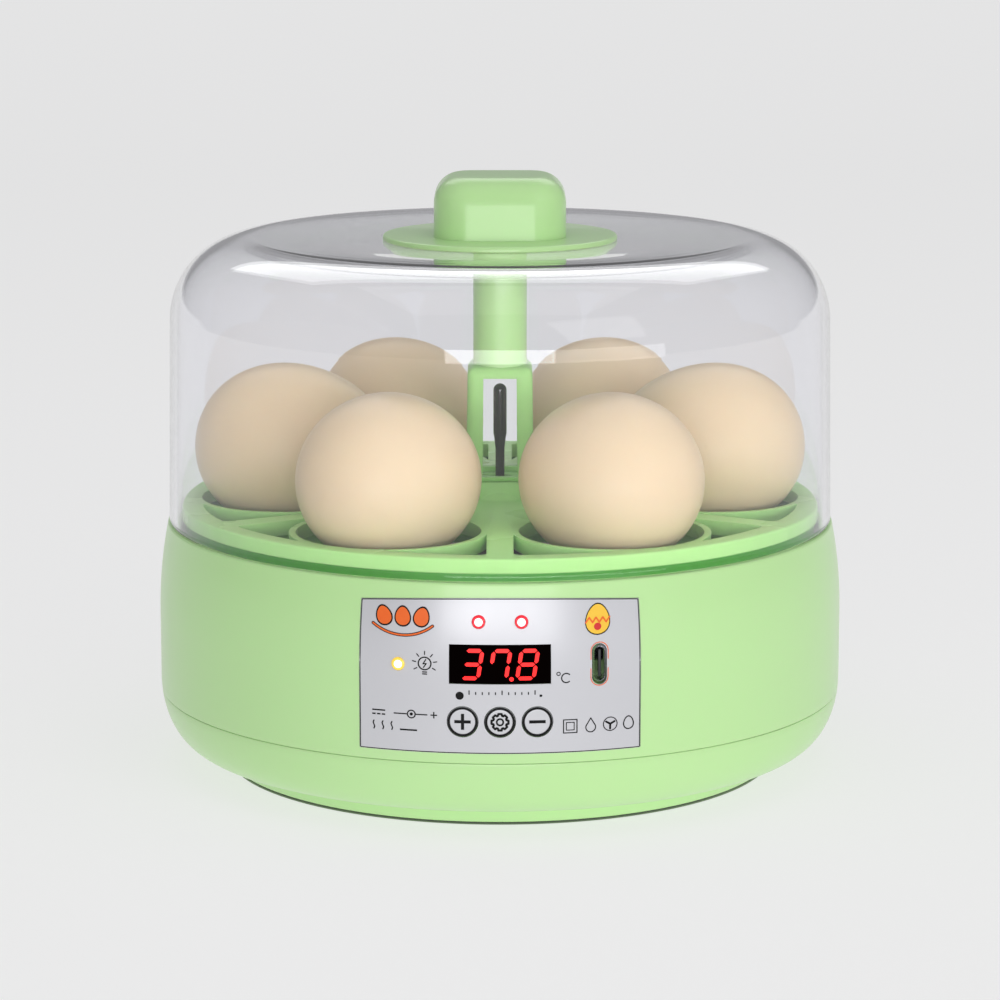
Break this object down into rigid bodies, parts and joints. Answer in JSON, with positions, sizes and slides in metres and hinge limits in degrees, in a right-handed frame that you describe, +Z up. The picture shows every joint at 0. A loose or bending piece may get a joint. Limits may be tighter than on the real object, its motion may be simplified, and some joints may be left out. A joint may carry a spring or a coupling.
{
  "type": "egg incubator",
  "caption": "Round tabletop egg incubator with a clear lift-off dome, egg tray, sensor cage, heated base with fan and a front control panel.",
  "frame": {"origin": "centre of the plane that the rubber feet rest on, under the middle of the round base", "axes": "+Z up along the base's and dome's axis, -Y towards the control panel, +X to the right seen from the front"},
  "size_m": [0.18, 0.18, 0.155],
  "materials": {
    "green_plastic": "gloss",
    "clear_plastic": "clear gloss",
    "eggshell": "satin shell",
    "label_silver": "satin film",
    "display_smoke": "gloss",
    "red_lamp": "gloss",
    "amber_lamp": "gloss",
    "black_plastic": "satin",
    "rubber": "matt",
    "steel": "satin",
    "heater_metal": "heat-tinted",
    "ceramic_white": "matt",
    "board_green": "solder mask",
    "lead_black": "satin",
    "lead_red": "satin",
    "lead_white": "satin"
  },
  "bodies": {
    "base": {"base_shell": "green_plastic", "bottom_shell": "green_plastic", "rubber_feet": "rubber", "case_screws": "steel", "inner_pan": "green_plastic", "heater_ring": "heater_metal", "heater_clips": "ceramic_white", "fan_frame": "black_plastic", "fan_grille": "green_plastic", "fan_screws": "steel", "control_board": "board_green", "board_screws": "steel", "board_chips": "black_plastic", "alarm_sounder": "black_plastic", "display_module": "ceramic_white", "display_window": "display_smoke", "tact_switches": "black_plastic", "alarm_lamps": "red_lamp", "lamp_indicator": "amber_lamp", "usb_socket": "steel", "usb_tongue": "black_plastic", "control_label": "label_silver", "temperature_probe": "black_plastic", "probe_grommet": "rubber", "probe_lead": "lead_black", "fan_lead": "lead_red", "heater_leads": "lead_white"},
    "fan": {"fan_rotor": "black_plastic"},
    "key_plus": {"key_plus": "label_silver"},
    "key_set": {"key_set": "label_silver"},
    "key_minus": {"key_minus": "label_silver"},
    "tray": {"egg_tray": "green_plastic", "sensor_cage": "green_plastic"},
    "lid": {"dome_cover": "clear_plastic", "lid_knob": "green_plastic", "knob_flange": "green_plastic", "stem_tube": "green_plastic", "stem_screw": "steel"},
    "egg_front_right": {"egg_front_right": "eggshell"},
    "egg_right": {"egg_right": "eggshell"},
    "egg_rear_right": {"egg_rear_right": "eggshell"},
    "egg_rear_left": {"egg_rear_left": "eggshell"},
    "egg_left": {"egg_left": "eggshell"},
    "egg_front_left": {"egg_front_left": "eggshell"}
  },
  "joints": [
    {"name": "fan_spin", "type": "hinge", "parent": "base", "child": "fan", "pos_m": [0, 0, 0.039], "axis": [0, 0, 1], "continuous": true},
    {"name": "key_plus_press", "type": "slide", "parent": "base", "child": "key_plus", "axis": [0, 1, 0], "range_m": [0, 0.0005], "stiffness_N_per_m": 400, "springref_m": -0.0006},
    {"name": "key_set_press", "type": "slide", "parent": "base", "child": "key_set", "axis": [0, 1, 0], "range_m": [0, 0.0005], "stiffness_N_per_m": 400, "springref_m": -0.0006},
    {"name": "key_minus_press", "type": "slide", "parent": "base", "child": "key_minus", "axis": [0, 1, 0], "range_m": [0, 0.0005], "stiffness_N_per_m": 400, "springref_m": -0.0006},
    {"name": "tray_lift", "type": "slide", "parent": "base", "child": "tray", "axis": [0, 0, 1], "range_m": [0, 0.06]},
    {"name": "lid_lift", "type": "slide", "parent": "tray", "child": "lid", "axis": [0, 0, 1], "range_m": [0, 0.12]},
    {"name": "egg_front_right_lift", "type": "slide", "parent": "tray", "child": "egg_front_right", "axis": [0, 0, 1], "range_m": [0, 0.025]},
    {"name": "egg_right_lift", "type": "slide", "parent": "tray", "child": "egg_right", "axis": [0, 0, 1], "range_m": [0, 0.025]},
    {"name": "egg_rear_right_lift", "type": "slide", "parent": "tray", "child": "egg_rear_right", "axis": [0, 0, 1], "range_m": [0, 0.025]},
    {"name": "egg_rear_left_lift", "type": "slide", "parent": "tray", "child": "egg_rear_left", "axis": [0, 0, 1], "range_m": [0, 0.025]},
    {"name": "egg_left_lift", "type": "slide", "parent": "tray", "child": "egg_left", "axis": [0, 0, 1], "range_m": [0, 0.025]},
    {"name": "egg_front_left_lift", "type": "slide", "parent": "tray", "child": "egg_front_left", "axis": [0, 0, 1], "range_m": [0, 0.025]}
  ]
}
